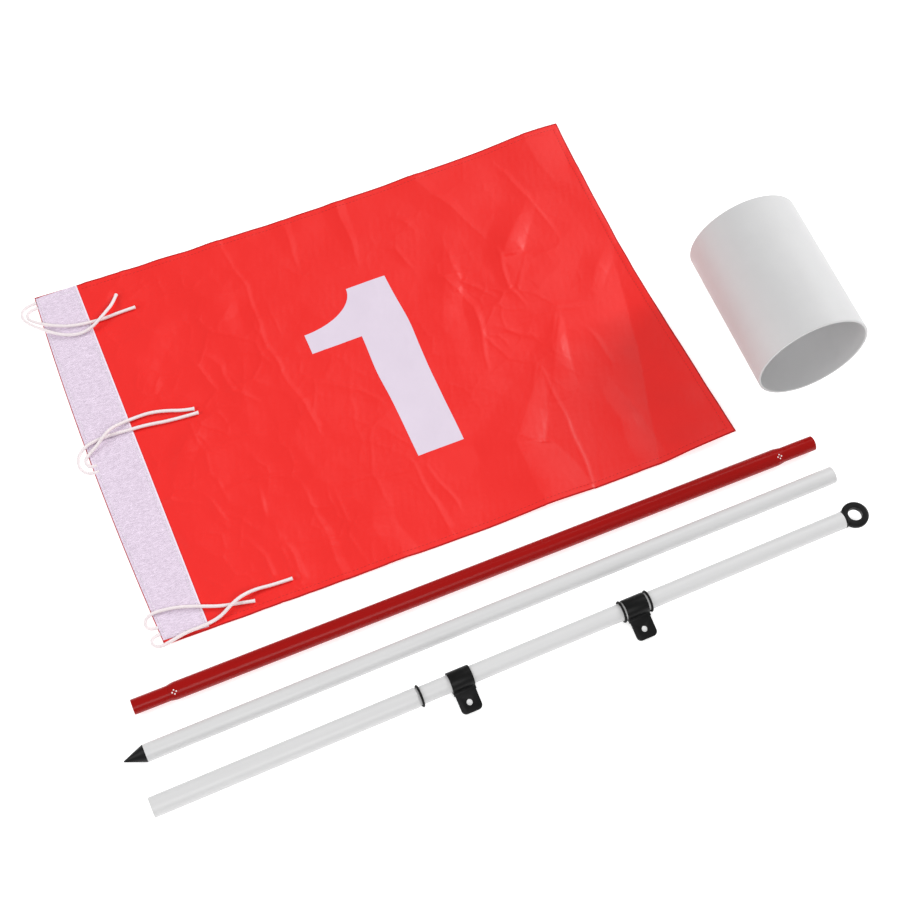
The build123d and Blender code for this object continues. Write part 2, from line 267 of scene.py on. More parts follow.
class Nodes:
    """A small builder for a material's node tree."""

    def __init__(self, name):
        self.material = bpy.data.materials.new(name)
        self.material.use_nodes = True
        self.tree = self.material.node_tree
        self.shader = self.tree.nodes["Principled BSDF"]
        self.place = self.add("ShaderNodeTexCoord").outputs["Object"]

    def add(self, kind, inputs=None, **settings):
        """A new node, with its settings made before its inputs are fed."""
        node = self.tree.nodes.new(kind)
        for key, value in settings.items():
            setattr(node, key, value)
        for key, value in (inputs or {}).items():
            self.feed(node.inputs[key], value)
        return node

    def feed(self, socket, value):
        """Link another node's output to a socket, or set the socket's own value."""
        if isinstance(value, bpy.types.NodeSocket):
            self.tree.links.new(value, socket)
        elif socket.type == "RGBA":
            socket.default_value = (*value, 1)
        else:
            socket.default_value = value

    def noise(self, size, detail=3.0, roughness=0.55, place=None):
        """Noise whose features are about size metres across."""
        inputs = {
            "Vector": place or self.place, "Scale": 1 / size, "Detail": detail, "Roughness": roughness,
        }
        return self.add("ShaderNodeTexNoise", inputs).outputs["Fac"]

    def stretched(self, scale):
        """The object's own coordinates, scaled along X, Y and Z."""
        return self.add("ShaderNodeMapping", {"Vector": self.place, "Scale": scale}).outputs["Vector"]

    def between(self, factor, low, high):
        """A value that runs from low to high as factor goes from 0 to 1."""
        inputs = {"Value": factor, "To Min": low, "To Max": high}
        return self.add("ShaderNodeMapRange", inputs).outputs["Result"]

    def mixed(self, factor, first, second):
        """A colour that runs from first to second as factor goes from 0 to 1."""
        node = self.add("ShaderNodeMix", {"Factor": factor}, data_type="RGBA")
        first_colour, second_colour = (socket for socket in node.inputs if socket.type == "RGBA")
        self.feed(first_colour, first)
        self.feed(second_colour, second)
        return next(socket for socket in node.outputs if socket.type == "RGBA")

    def math(self, operation, first, second):
        """One step of arithmetic on two values."""
        node = self.add("ShaderNodeMath", operation=operation)
        self.feed(node.inputs[0], first)
        self.feed(node.inputs[1], second)
        return node.outputs[0]

    def bump(self, height, depth, after=None):
        """A bump whose height input of 1 stands depth metres proud."""
        inputs = {"Height": height, "Distance": depth, "Strength": 1.0}
        if after is not None:
            inputs["Normal"] = after
        return self.add("ShaderNodeBump", inputs).outputs["Normal"]

    def surface(self, **values):
        """Set the shader's sockets, by their names with _ for a space."""
        for key, value in values.items():
            self.feed(self.shader.inputs[key.replace("_", " ")], value)
        return self.material


def satin_material():
    """Red polyester: a fine plain weave with a soft sheen, and flecks of paler fibre."""
    nodes = Nodes("satin")
    tone = nodes.noise(0.09, 2.0)
    fibre = nodes.noise(0.0022, 4.0, 0.7)
    colour = nodes.mixed(tone, (0.770, 0.015, 0.012), (0.810, 0.019, 0.016))
    colour = nodes.mixed(nodes.between(fibre, 0.0, 0.30), colour, (0.845, 0.026, 0.021))
    yarn = {"Vector": nodes.place, "Scale": WEAVE_SCALE}
    warp, weft = (nodes.add("ShaderNodeTexWave", yarn, bands_direction=way).outputs["Fac"] for way in "XY")
    normal = nodes.bump(nodes.math("MULTIPLY", warp, weft), 0.00001)
    normal = nodes.bump(nodes.noise(0.007, 4.0), 0.00010, normal)
    return nodes.surface(
        Base_Color=colour, Roughness=nodes.between(tone, 0.33, 0.41), Normal=normal,
        Sheen_Weight=0.02, Sheen_Roughness=0.4, Specular_IOR_Level=0.36,
    )


def shaded_edge_material():
    """Painted shade on the very edge of the hem: where the doubled cloth turns over, its side lies in
    shadow, drawn as a deeper red.
    """
    nodes = Nodes("satin_painted_shade_edge")
    fibre = nodes.noise(0.0022, 4.0, 0.7)
    return nodes.surface(
        Base_Color=nodes.mixed(fibre, (0.40, 0.005, 0.005), (0.52, 0.009, 0.008)), Roughness=0.6,
        Normal=nodes.bump(fibre, 0.00003), Specular_IOR_Level=0.2,
    )


def webbing_material():
    """Off-white woven tape, with threads that run across it and a bleached selvedge beside the seam."""
    nodes = Nodes("webbing")
    thread = nodes.noise(0.0010, 3.0, 0.7, nodes.stretched((0.30, 1, 1)))
    speck = nodes.noise(0.0009, 3.0, 0.7)
    colour = nodes.mixed(nodes.between(thread, -0.55, 1.55), (0.50, 0.41, 0.51), (0.84, 0.72, 0.86))
    colour = nodes.mixed(nodes.between(speck, 0.0, 0.35), colour, (0.78, 0.67, 0.79))
    x = nodes.add("ShaderNodeSeparateXYZ", {"Vector": nodes.place}).outputs["X"]
    beside_seam = nodes.math("GREATER_THAN", x, SEAM_X - SELVEDGE)
    colour = nodes.mixed(beside_seam, colour, (0.80, 0.73, 0.83))
    normal = nodes.bump(speck, 0.00012)
    normal = nodes.bump(thread, 0.00020, normal)
    return nodes.surface(Base_Color=colour, Roughness=0.75, Normal=normal, Sheen_Weight=0.1)


def film_material():
    """The numeral's heat-transfer film, which lets the cloth's weave show faintly."""
    nodes = Nodes("numeral_film")
    tone = nodes.noise(0.02, 3.0)
    colour = nodes.mixed(tone, (0.67, 0.585, 0.69), (0.71, 0.62, 0.73))
    normal = nodes.bump(nodes.noise(0.0009, 3.0), 0.00004)
    return nodes.surface(Base_Color=colour, Roughness=nodes.between(tone, 0.42, 0.52), Normal=normal)


def thread_material(name, low, high):
    """Sewing thread, with the twist of its plies."""
    nodes = Nodes(name)
    ply = nodes.noise(0.0004, 2.0)
    return nodes.surface(
        Base_Color=nodes.mixed(ply, low, high), Roughness=0.6, Normal=nodes.bump(ply, 0.00005),
    )


def cord_material():
    """Soft white braided cord with fine fibres, its colour tinted pink as painted bounce light from the red
    cloth.
    """
    nodes = Nodes("cord")
    fibre = nodes.noise(0.0005, 4.0, 0.7)
    broad = nodes.noise(0.012, 2.0)
    # Painted bounce light: the white is tinted pink, as light off the red cloth would tint it.
    colour = nodes.mixed(fibre, (0.74, 0.665, 0.68), (0.88, 0.80, 0.815))
    colour = nodes.mixed(nodes.between(broad, 0.0, 0.4), colour, (0.84, 0.765, 0.78))
    return nodes.surface(
        Base_Color=colour, Roughness=0.7, Normal=nodes.bump(fibre, 0.00010), Sheen_Weight=0.1,
    )


def red_paint_material():
    """Glossy dark red lacquer, with faint drawing lines along the tube and a slight orange peel."""
    nodes = Nodes("red_paint")
    streak = nodes.noise(0.004, 3.0, 0.6, nodes.stretched((0.04, 1, 1)))
    peel = nodes.noise(0.0016, 2.0)
    colour = nodes.mixed(streak, (0.272, 0.003, 0.002), (0.352, 0.005, 0.004))
    normal = nodes.bump(peel, 0.00002)
    normal = nodes.bump(streak, 0.00003, normal)
    return nodes.surface(
        Base_Color=colour, Roughness=nodes.between(peel, 0.18, 0.28), Normal=normal,
        Specular_IOR_Level=0.16,
    )


def dent_glint_material():
    """Painted highlights: near-white specks that stand for the glints where the rims of the crimp dents
    catch the light.
    """
    nodes = Nodes("painted_dent_glint")
    glint_grain = nodes.noise(0.0003, 2.0)
    colour = nodes.mixed(glint_grain, (0.90, 0.84, 0.82), (0.98, 0.95, 0.93))
    return nodes.surface(Base_Color=colour, Roughness=nodes.between(glint_grain, 0.35, 0.55))


def white_paint_material():
    """Satin white coating over a tube, with faint lengthwise lines and handling marks."""
    nodes = Nodes("white_paint")
    streak = nodes.noise(0.005, 3.0, 0.6, nodes.stretched((0.03, 1, 1)))
    scuff = nodes.noise(0.018, 5.0, 0.7)
    colour = nodes.mixed(streak, (0.600, 0.598, 0.602), (0.668, 0.668, 0.670))
    colour = nodes.mixed(nodes.between(scuff, 0.0, 0.25), colour, (0.560, 0.556, 0.552))
    normal = nodes.bump(streak, 0.00003)
    return nodes.surface(
        Base_Color=colour, Roughness=nodes.between(scuff, 0.28, 0.42), Normal=normal,
    )


def sleeve_material():
    """Moulded white plastic: a faint mould texture, and soft scuffs from being pushed into turf."""
    nodes = Nodes("white_plastic")
    scuff = nodes.noise(0.035, 5.0, 0.65)
    grain = nodes.noise(0.0012, 3.0)
    colour = nodes.mixed(scuff, (0.560, 0.558, 0.562), (0.625, 0.625, 0.629))
    normal = nodes.bump(grain, 0.00003)
    return nodes.surface(
        Base_Color=colour, Roughness=nodes.between(scuff, 0.50, 0.62), Normal=normal,
        Specular_IOR_Level=0.30,
    )


def black_material(name, grain_size, depth, rough_low, rough_high):
    """Black moulded plastic or rubber, with the grain of its mould and paler rubbed spots."""
    nodes = Nodes(name)
    grain = nodes.noise(grain_size, 3.0)
    wear = nodes.noise(0.006, 5.0, 0.7)
    colour = nodes.mixed(wear, (0.0030, 0.0030, 0.0030), (0.0066, 0.0066, 0.0069))
    return nodes.surface(
        Base_Color=colour, Roughness=nodes.between(wear, rough_low, rough_high),
        Normal=nodes.bump(grain, depth), Specular_IOR_Level=0.16,
    )


def floor_material():
    """A white table that is lit a little from below as well, so that it takes hardly any shadow."""
    nodes = Nodes("floor")
    haze = nodes.noise(0.4, 2.0)
    colour = nodes.mixed(haze, (0.90, 0.90, 0.90), (0.92, 0.92, 0.92))
    return nodes.surface(
        Base_Color=colour, Roughness=0.9, Specular_IOR_Level=0.2, Emission_Color=(1.0, 1.0, 1.0),
        Emission_Strength=0.50,
    )


# --- tie cords ---
BRAID_SIDES = 20
BRAID_STRANDS = 4
BRAID_PITCH = 0.0065
BRAID_DEPTH = 0.05
CORD_STEP = 0.0005
END_FLARE = 0.16
END_FLARE_LENGTH = 0.0035
BRAID_SHARP_ANGLE = 60
NO_GAP = 1e-9


def route_line(name, points):
    """The smooth line of a cord: points read from one NURBS spline along its route."""
    curve = bpy.data.curves.new(name + "_route", "CURVE")
    curve.dimensions = "3D"
    curve.resolution_u = 24
    spline = curve.splines.new("NURBS")
    spline.points.add(len(points) - 1)
    for point, place in zip(spline.points, points):
        point.co = (*place, 1)
    spline.order_u = 3
    spline.use_endpoint_u = True
    route = add_object(name + "_route", curve)
    places = np.array([tuple(v.co) for v in evaluated_mesh(route).vertices])
    bpy.data.objects.remove(route)
    return places


def evenly(places, step):
    """The same line with its points a constant step apart, and each one's distance along it."""
    gaps = np.linalg.norm(np.diff(places, axis=0), axis=1)
    places = places[np.concatenate(([True], gaps > NO_GAP))]
    run = np.concatenate(([0], np.cumsum(gaps[gaps > NO_GAP])))
    at = np.linspace(0, run[-1], int(round(run[-1] / step)) + 1)
    line = np.stack([np.interp(at, run, column) for column in places.T], axis=1)
    return line, at


def braided_tube(name, places):
    """A round braid along a line, a little flared at its cut end."""
    line, at = evenly(places, CORD_STEP)
    radius = CORD_DIAMETER / 2
    ways = np.gradient(line, axis=0)
    ways /= np.linalg.norm(ways, axis=1)[:, None]
    side = np.cross(ways[0], (0, 0, 1))
    verts = []
    angles = 2 * np.pi * np.arange(BRAID_SIDES) / BRAID_SIDES
    for place, way, distance in zip(line, ways, at):
        side = side - way * side.dot(way)
        side /= np.linalg.norm(side)
        top = np.cross(way, side)
        phase = 2 * np.pi * distance / BRAID_PITCH
        over = np.sin(BRAID_STRANDS * angles + phase) * np.sin(BRAID_STRANDS * angles - phase)
        flare = END_FLARE * max(0.0, 1 - (at[-1] - distance) / END_FLARE_LENGTH) ** 2
        ring = radius * (1 - BRAID_DEPTH / 2 + BRAID_DEPTH * over + flare)
        verts.extend(place + np.outer(ring * np.cos(angles), side) + np.outer(ring * np.sin(angles), top))
    faces = grid_faces(len(line), BRAID_SIDES, wrap_columns=True)
    last = (len(line) - 1) * BRAID_SIDES
    for first_vert, place, turn in ((0, line[0], -1), (last, line[-1], 1)):
        centre = len(verts)
        verts.append(place)
        for k in range(BRAID_SIDES):
            pair = (first_vert + k, first_vert + (k + 1) % BRAID_SIDES)
            faces.append((*pair[::turn], centre))
    return add_mesh(name, verts, faces, BRAID_SHARP_ANGLE)


def tie_cords(material):
    """All six tails, each hung on the flag's body."""
    for name, points in TIE_ROUTES.items():
        places = route_line(name, points)
        tail = braided_tube(name + "_braid", places)
        finish_piece(tail, "flag", "cord", material, name)


# --- flag ---
FLAG_LOW, FLAG_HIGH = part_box("flag_cloth")
FLAG_WIDTH = FLAG_HIGH.x - FLAG_LOW.x
FLAG_HEIGHT = FLAG_HIGH.y - FLAG_LOW.y
SEAM_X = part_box("header_webbing")[1].x
HOIST_BOW = 0.0045
FLY_BOW = 0.0045
TOP_SAG = 0.0050
BOTTOM_BOW = 0.0015
TOP_LEFT_LIFT = 0.0035
BOTTOM_LEFT_LIFT = 0.0045
BOTTOM_RIGHT_DROP = 0.0040
CLOTH_STEP = 0.0012
CLOTH_THICKNESS = 0.00045
CLOTH_TOP = 0.0010
LEAST_CLEARANCE = 0.0001

# The cloth's random shape. Each swell: its length, height and number of waves. Each crumple: the size of
# its facets, their slope, and the height and reach of the ridges between them, which show in patches.
# The crumples fade by SMOOTHER_RIGHT across SMOOTHER_FROM, and are stronger about CRINKLED_SPOT.
CLOTH_SEED = 11
WAVE_STRETCH = (0.7, 1.5)
WAVE_SPREAD = 0.98
SWELLS = ((0.150, 0.00050, 6), (0.045, 0.00024, 8))
PUCKER = (0.0055, 0.00003, 10)
CRUMPLES = ((0.042, 0.040, 0.00032, 0.0022), (0.019, 0.028, 0.00026, 0.0014))
CRUMPLE_WARP = 0.0012
CRUMPLE_WARP_LENGTH = 1.6
PATCH_CELLS = 3
PATCH_WAVES = 6
PATCH_EDGE = (-0.1, 0.8)
SMOOTHER_RIGHT = 0.75
SMOOTHER_FROM = (-0.14, -0.02)
CRINKLED_SPOT = (0.078, 0.085)
CRINKLED_REACH = 0.075
CRINKLED_MORE = 0.60

# How the cloth is drawn flat under the header, and under the tails that lie on it.
TIE_BED = 0.00132
TIE_BED_EDGE = (0.002, 0.009)
HEADER_EDGE = (SEAM_X - 0.002, SEAM_X + 0.010)

# The hem, and the row of stitches that runs just inside its fold.
HEM_WIDTH = 0.0062
HEM_SLOPE = 0.0012
HEM_RISE = 0.00035
HEM_ROW = HEM_WIDTH - 0.0006
HEM_GROOVE = 0.00050
HEM_GROOVE_REACH = 0.0007

# How every crease is shaped. RIDGE is for the small sharp ridge along the narrow ones.
CREASE_RISE = 0.00013
CREASE_SPREAD = 0.001
CREASE_WANDER = 0.0006
CREASE_WANDER_LENGTH = 0.040
DOME = 0.8
DOMED_FROM = (0.006, 0.014)
SOFT_FOOT = 1.3
RIDGE_RISE = 0.00012
RIDGE_REACH = 0.0018
RIDGED_UP_TO = (0.006, 0.010)
WARP_WAVES = 5

# Each crease: its line, which mostly runs down or to the right; its height at the start, middle and end, in
# steps of CREASE_RISE; how far it spreads to its left, at its start and end, in steps of CREASE_SPREAD; and
# how far to its right.
CREASES = [
    # the long fold left of the numeral, and the broad facet before it
    ([(-0.119, 0.248), (-0.118, 0.216), (-0.112, 0.196), (-0.115, 0.171), (-0.117, 0.129), (-0.114, 0.101)],
     (4, 5, 3), (3, 3), (18, 14)),
    ([(-0.116, 0.118), (-0.115, 0.098), (-0.109, 0.066), (-0.105, 0.036)], (1, 6, 6), (3, 5), (10, 16)),
    ([(-0.138, 0.212), (-0.149, 0.172), (-0.154, 0.138)], (2, 14, 2), (16, 26), (30, 20)),
    ([(-0.139, -0.006), (-0.135, -0.049), (-0.136, -0.102)], (1, 5, 9), (3, 8), (14, 24)),
    # above the numeral
    ([(-0.007, 0.244), (-0.008, 0.203), (-0.011, 0.176)], (10, 8, 1), (9, 3), (16, 8)),
    ([(-0.059, 0.242), (-0.060, 0.222), (-0.063, 0.196)], (6, 5, 1), (7, 3), (14, 8)),
    ([(0.070, 0.244), (0.090, 0.204), (0.106, 0.156)], (12, 10, 1), (10, 4), (26, 10)),
    ([(0.036, 0.212), (0.046, 0.204), (0.050, 0.192)], (1, 6, 2), (7, 4), (12, 8)),
    # the kite and the lines beside it, towards the top right
    ([(0.156, 0.182), (0.132, 0.157), (0.110, 0.134), (0.120, 0.108)], (1, 25, 3), (10, 22), (24, 16)),
    ([(0.150, 0.222), (0.158, 0.189), (0.168, 0.140)], (4, 8, 2), (4, 3), (18, 10)),
    ([(0.182, 0.242), (0.190, 0.180)], (30, 20, 1), (40, 12), (50, 20)),
    ([(0.212, 0.196), (0.209, 0.150), (0.211, 0.112)], (4, 12, 3), (10, 10), (22, 16)),
    ([(0.203, 0.108), (0.186, 0.092), (0.170, 0.070)], (2, 12, 3), (14, 10), (22, 14)),
    ([(0.110, 0.138), (0.103, 0.099), (0.110, 0.078)], (4, 7, 1), (4, 3), (12, 8)),
    # the jagged fold right of the numeral, with a broad facet before it
    ([(0.054, 0.134), (0.067, 0.094), (0.060, 0.060), (0.052, 0.032)], (6, 9, 2), (6, 3), (14, 10)),
    ([(0.064, 0.156), (0.042, 0.108), (0.027, 0.064)], (3, 14, 2), (14, 22), (30, 18)),
    ([(0.068, 0.158), (0.066, 0.126), (0.086, 0.100)], (3, 8, 2), (5, 4), (14, 10)),
    ([(0.025, 0.182), (0.033, 0.154)], (2, 5, 1), (4, 3), (10, 6)),
    # the spikes and the big triangle at the lower right
    ([(0.133, 0.056), (0.115, 0.026), (0.099, -0.002)], (1, 18, 16), (3, 22), (10, 30)),
    ([(0.095, 0.014), (0.070, -0.016), (0.044, -0.046), (0.044, -0.108)], (1, 29, 34), (6, 46), (12, 56)),
    ([(0.095, 0.014), (0.094, -0.041), (0.089, -0.106)], (1, 6, 7), (3, 4), (10, 30)),
    ([(0.134, -0.016), (0.135, -0.060), (0.131, -0.104)], (2, 20, 14), (12, 28), (16, 34)),
    ([(0.250, -0.112), (0.246, -0.020), (0.236, 0.080)], (88, 82, 20), (102, 36), (30, 30)),
    ([(0.150, 0.036), (0.155, -0.006)], (1, 6, 2), (4, 4), (12, 8)),
    ([(0.106, 0.067), (0.136, 0.063), (0.162, 0.055)], (1, 6, 1), (10, 8), (12, 8)),
    # below the numeral
    ([(-0.043, -0.030), (-0.042, -0.063), (-0.038, -0.098)], (2, 5, 5), (3, 5), (12, 14)),
    ([(-0.033, -0.036), (-0.024, -0.080)], (1, 5, 3), (3, 3), (12, 12)),
    ([(-0.088, -0.042), (-0.097, -0.078), (-0.092, -0.108)], (2, 14, 12), (18, 22), (26, 30)),
    # the crumpled left side
    ([(-0.190, 0.080), (-0.212, 0.068), (-0.227, 0.050), (-0.236, 0.030)], (1, 13, 3), (14, 12), (18, 12)),
    ([(-0.174, 0.144), (-0.162, 0.126), (-0.161, 0.096), (-0.144, 0.080)], (3, 8, 2), (5, 4), (16, 10)),
    ([(-0.182, 0.138), (-0.176, 0.116), (-0.172, 0.098)], (1, 6, 1), (3, 3), (12, 8)),
    ([(-0.180, 0.200), (-0.204, 0.181), (-0.222, 0.154)], (1, 13, 3), (20, 14), (20, 16)),
    ([(-0.206, 0.152), (-0.222, 0.140), (-0.242, 0.116)], (1, 10, 3), (16, 12), (16, 10)),
    ([(-0.120, 0.190), (-0.134, 0.180), (-0.150, 0.166)], (1, 6, 1), (12, 6), (12, 6)),
    ([(-0.206, 0.008), (-0.168, 0.009), (-0.137, 0.001)], (1, 5, 1), (3, 3), (12, 10)),
    ([(-0.249, 0.020), (-0.219, 0.002)], (3, 5, 1), (3, 3), (10, 6)),
    ([(-0.172, -0.001), (-0.173, -0.015), (-0.176, -0.030)], (1, 6, 2), (3, 3), (12, 8)),
    ([(-0.214, 0.007), (-0.207, -0.020)], (2, 6, 2), (3, 3), (12, 8)),
    ([(-0.170, -0.052), (-0.167, -0.070), (-0.169, -0.092)], (1, 7, 6), (4, 6), (14, 12)),
    ([(-0.097, 0.080), (-0.058, 0.056), (-0.046, 0.038)], (1, 6, 2), (4, 4), (12, 8)),
    ([(-0.196, 0.060), (-0.170, 0.052), (-0.143, 0.048)], (1, 5, 1), (4, 4), (10, 6)),
    ([(-0.200, -0.040), (-0.188, -0.062), (-0.190, -0.088)], (1, 6, 4), (4, 4), (14, 10)),
]


def flag_plan(across, up):
    """Where a point of the flag lies: across runs from hoist to fly, up from bottom to top, 0 to 1."""
    bow = 4 * up * (1 - up)
    hoist = FLAG_LOW.x - HOIST_BOW * bow
    fly = FLAG_HIGH.x - FLY_BOW * bow
    arch = 4 * across * (1 - across)
    top = FLAG_HIGH.y + TOP_LEFT_LIFT * (1 - across) - TOP_SAG * arch
    bottom = FLAG_LOW.y + BOTTOM_LEFT_LIFT * (1 - across) - BOTTOM_RIGHT_DROP * across - BOTTOM_BOW * arch
    return hoist + (fly - hoist) * across, bottom + (top - bottom) * up


def waves(x, y, length, count, rng):
    """A smooth random field with features about length across, mostly from -1 to 1."""
    field = np.zeros_like(x)
    for _ in range(count):
        heading = rng.uniform(0, 2 * pi)
        stretch = rng.uniform(*WAVE_STRETCH)
        phase = rng.uniform(0, 2 * pi)
        distance = x * cos(heading) + y * sin(heading)
        field += np.sin(2 * pi * distance / (length * stretch) + phase)
    return field / (WAVE_SPREAD * count ** 0.5)


def warped(x, y, amount, length, rng):
    """The same places, each strayed a little, so that what is drawn from them isn't ruled."""
    strayed_x = x + amount * waves(x, y, length, WARP_WAVES, rng)
    strayed_y = y + amount * waves(x, y, length, WARP_WAVES, rng)
    return strayed_x, strayed_y


def ease(value, low, high):
    """0 below low and 1 above high, with a smooth change between."""
    share = np.clip((value - low) / (high - low), 0, 1)
    return share * share * (3 - 2 * share)


def near_line(x, y, points):
    """For each place: distance to a line of points, which side it is on, and how far along, 0 to 1."""
    best = np.full_like(x, np.inf)
    side = np.zeros_like(x)
    along = np.zeros_like(x)
    spans = [hypot(b[0] - a[0], b[1] - a[1]) for a, b in zip(points, points[1:])]
    done = 0
    for start, end, span in zip(points, points[1:], spans):
        way_x = (end[0] - start[0]) / span
        way_y = (end[1] - start[1]) / span
        run = np.clip((x - start[0]) * way_x + (y - start[1]) * way_y, 0, span)
        off_x = x - start[0] - run * way_x
        off_y = y - start[1] - run * way_y
        distance = np.hypot(off_x, off_y)
        closer = distance < best
        best = np.where(closer, distance, best)
        side = np.where(closer, np.sign(way_x * off_y - way_y * off_x), side)
        along = np.where(closer, (done + run) / sum(spans), along)
        done += span
    return best, side, along


def crease_height(x, y, crease):
    """A fold: domed on its left as far as a crisp foot, with a soft foot on its right. Where it is narrow
    it has a sharp little ridge along its top."""
    points, heights, left, right = crease
    distance, side, along = near_line(x, y, points)
    height = CREASE_RISE * np.interp(along, (0, 0.5, 1), heights)
    to_left = CREASE_SPREAD * np.interp(along, (0, 1), left)
    to_right = CREASE_SPREAD * np.interp(along, (0, 1), right)
    domed = 1 - np.clip(distance / to_left, 0, 1) ** (1 + DOME * ease(to_left, *DOMED_FROM))
    sloped = np.clip(1 - distance / to_right, 0, 1) ** SOFT_FOOT
    sharpness = 1 - ease(np.minimum(to_left, to_right), *RIDGED_UP_TO)
    shown = np.minimum(height / (2 * RIDGE_RISE), 1) * sharpness
    ridge = RIDGE_RISE * shown * np.clip(1 - distance / RIDGE_REACH, 0, 1)
    return height * np.where(side > 0, domed, sloped) + ridge


def facets(x, y, cell, rng):
    """Facets about cell across: the distance to the nearest of many scattered spots, and to the edge
    between the nearest two."""
    warped_x, warped_y = warped(x, y, CRUMPLE_WARP, CRUMPLE_WARP_LENGTH * cell, rng)
    nearest = np.full_like(x, np.inf)
    second = np.full_like(x, np.inf)
    for i in range(int(FLAG_WIDTH / cell) + 3):
        for j in range(int(FLAG_HEIGHT / cell) + 3):
            spot_x = FLAG_LOW.x + cell * (i - 1 + rng.uniform())
            spot_y = FLAG_LOW.y + cell * (j - 1 + rng.uniform())
            distance = np.hypot(warped_x - spot_x, warped_y - spot_y)
            second = np.minimum(second, np.maximum(nearest, distance))
            nearest = np.minimum(nearest, distance)
    return nearest, (second - nearest) / 2


def cloth_height(x, y):
    """The height of the cloth's top over the floor, at arrays of places on the flag."""
    rng = np.random.default_rng(CLOTH_SEED)
    height = np.full_like(x, CLOTH_TOP)
    for length, rise, count in SWELLS:
        height += rise * waves(x, y, length, count, rng)
    from_spot = np.hypot(x - CRINKLED_SPOT[0], y - CRINKLED_SPOT[1])
    crinkled = np.exp(-(from_spot / CRINKLED_REACH) ** 2)
    share = 1 - SMOOTHER_RIGHT * ease(x, *SMOOTHER_FROM) + CRINKLED_MORE * crinkled
    for cell, slope, ridge, reach in CRUMPLES:
        out_from, edge = facets(x, y, cell, rng)
        shown = ease(waves(x, y, PATCH_CELLS * cell, PATCH_WAVES, rng), *PATCH_EDGE)
        height += share * (slope * out_from + ridge * shown * np.clip(1 - edge / reach, 0, 1))
    length, rise, count = PUCKER
    height += rise * waves(x, y, length, count, rng)
    warped_x, warped_y = warped(x, y, CREASE_WANDER, CREASE_WANDER_LENGTH, rng)
    for crease in CREASES:
        height += crease_height(warped_x, warped_y, crease)
    height = TIE_BED + (height - TIE_BED) * ease(x, *HEADER_EDGE)
    for points in TIE_ROUTES.values():
        distance = near_line(x, y, [p[:2] for p in points])[0]
        height += (TIE_BED - height) * (1 - ease(distance, *TIE_BED_EDGE))
    return np.maximum(height, CLOTH_THICKNESS + LEAST_CLEARANCE)


def hem_shape(across, up):
    """The hem's extra thickness, less the groove that its stitching pulls."""
    in_from_edge = np.minimum(np.minimum(up, 1 - up) * FLAG_HEIGHT, (1 - across) * FLAG_WIDTH)
    folded = 1 - ease(in_from_edge, HEM_WIDTH, HEM_WIDTH + HEM_SLOPE)
    groove = np.exp(-((in_from_edge - HEM_ROW) / HEM_GROOVE_REACH) ** 2)
    return folded * HEM_RISE - groove * HEM_GROOVE


def flag_cloth(material):
    """The red cloth: one thin closed sheet, warped at its edges, with folds, creases and a sewn hem."""
    columns = int(FLAG_WIDTH / CLOTH_STEP) + 1
    rows = int(FLAG_HEIGHT / CLOTH_STEP) + 1
    across, up = np.meshgrid(np.linspace(0, 1, columns), np.linspace(0, 1, rows))
    x, y = flag_plan(across, up)
    hem = hem_shape(across, up)
    top = cloth_height(x, y) + hem
    under = np.where(hem > 0, np.maximum(top - CLOTH_THICKNESS - HEM_RISE, 0), top - CLOTH_THICKNESS)
    cloth = add_slab("flag_satin", x, y, top, under)
    finish_piece(cloth, "flag", "flag_fabric", material, "flag_cloth")
    # Painted shade: a deeper red round the cloth's outermost faces, for the hem's shadowed edge.
    paint_shaded_edge(cloth, rows - 1, columns - 1)
    return cloth


def paint_shaded_edge(cloth, rows, columns):
    """Give the outermost faces of both sides, and the rim, the deeper red that paints the shade on the
    turned hem's edge.
    """
    cloth.data.materials.append(shaded_edge_material())
    at_edge = np.zeros((rows, columns), dtype=np.int32)
    at_edge[[0, -1], :] = 1
    at_edge[:, [0, -1]] = 1
    slots = np.ones(len(cloth.data.polygons), dtype=np.int32)
    slots[:2 * at_edge.size] = np.tile(at_edge.ravel(), 2)
    cloth.data.polygons.foreach_set("material_index", slots)


# --- stitching ---
STITCH_LENGTH = 0.0026
STITCH_GAP = 0.0008
STITCH_RADIUS = 0.00022
STITCH_SIDES = 6
STITCH_STATIONS = (0.0, 0.12, 0.35, 0.65, 0.88, 1.0)
STITCH_RISES = (-1.6, -0.2, 0.7, 0.7, -0.2, -1.6)
HEM_ROW_STEPS = 120
HEADER_CLEARANCE = 0.0015
HEM_THREAD_LIFT = 0.6 * HEM_RISE - 0.55 * HEM_GROOVE


def stitch_row(path, lift, verts, faces):
    """Add one row of stitches along a plan path, each a short thread that dips in at both ends."""
    line, at = evenly(path, STITCH_GAP / 2)
    rows = (*line.T, cloth_height(*line.T) + lift)
    pitch = STITCH_LENGTH + STITCH_GAP
    for start in np.arange(pitch / 2, at[-1] - pitch, pitch):
        base = len(verts)
        for station, rise in zip(STITCH_STATIONS, STITCH_RISES):
            distance = start + station * STITCH_LENGTH
            x, y, z = (np.interp(distance, at, row) for row in rows)
            ahead = np.interp(distance + STITCH_GAP, at, rows[0]) - x
            beside = np.interp(distance + STITCH_GAP, at, rows[1]) - y
            reach = hypot(ahead, beside)
            for k in range(STITCH_SIDES):
                turn = 2 * pi * k / STITCH_SIDES
                aside = STITCH_RADIUS * cos(turn)
                up = STITCH_RADIUS * (rise + sin(turn))
                verts.append((x - aside * beside / reach, y + aside * ahead / reach, z + up))
        faces += grid_faces(len(STITCH_STATIONS), STITCH_SIDES, wrap_columns=True, start=base)
        faces.append(tuple(range(base + STITCH_SIDES - 1, base - 1, -1)))
        faces.append(tuple(range(len(verts) - STITCH_SIDES, len(verts))))


def sewn(name, paths, lift, slot, material):
    """All the stitches along some plan paths, as one piece that lies a lift over the cloth."""
    verts = []
    faces = []
    for path in paths:
        stitch_row(np.array(path), lift, verts, faces)
    return finish_piece(add_mesh(name, verts, faces), "flag", slot, material)


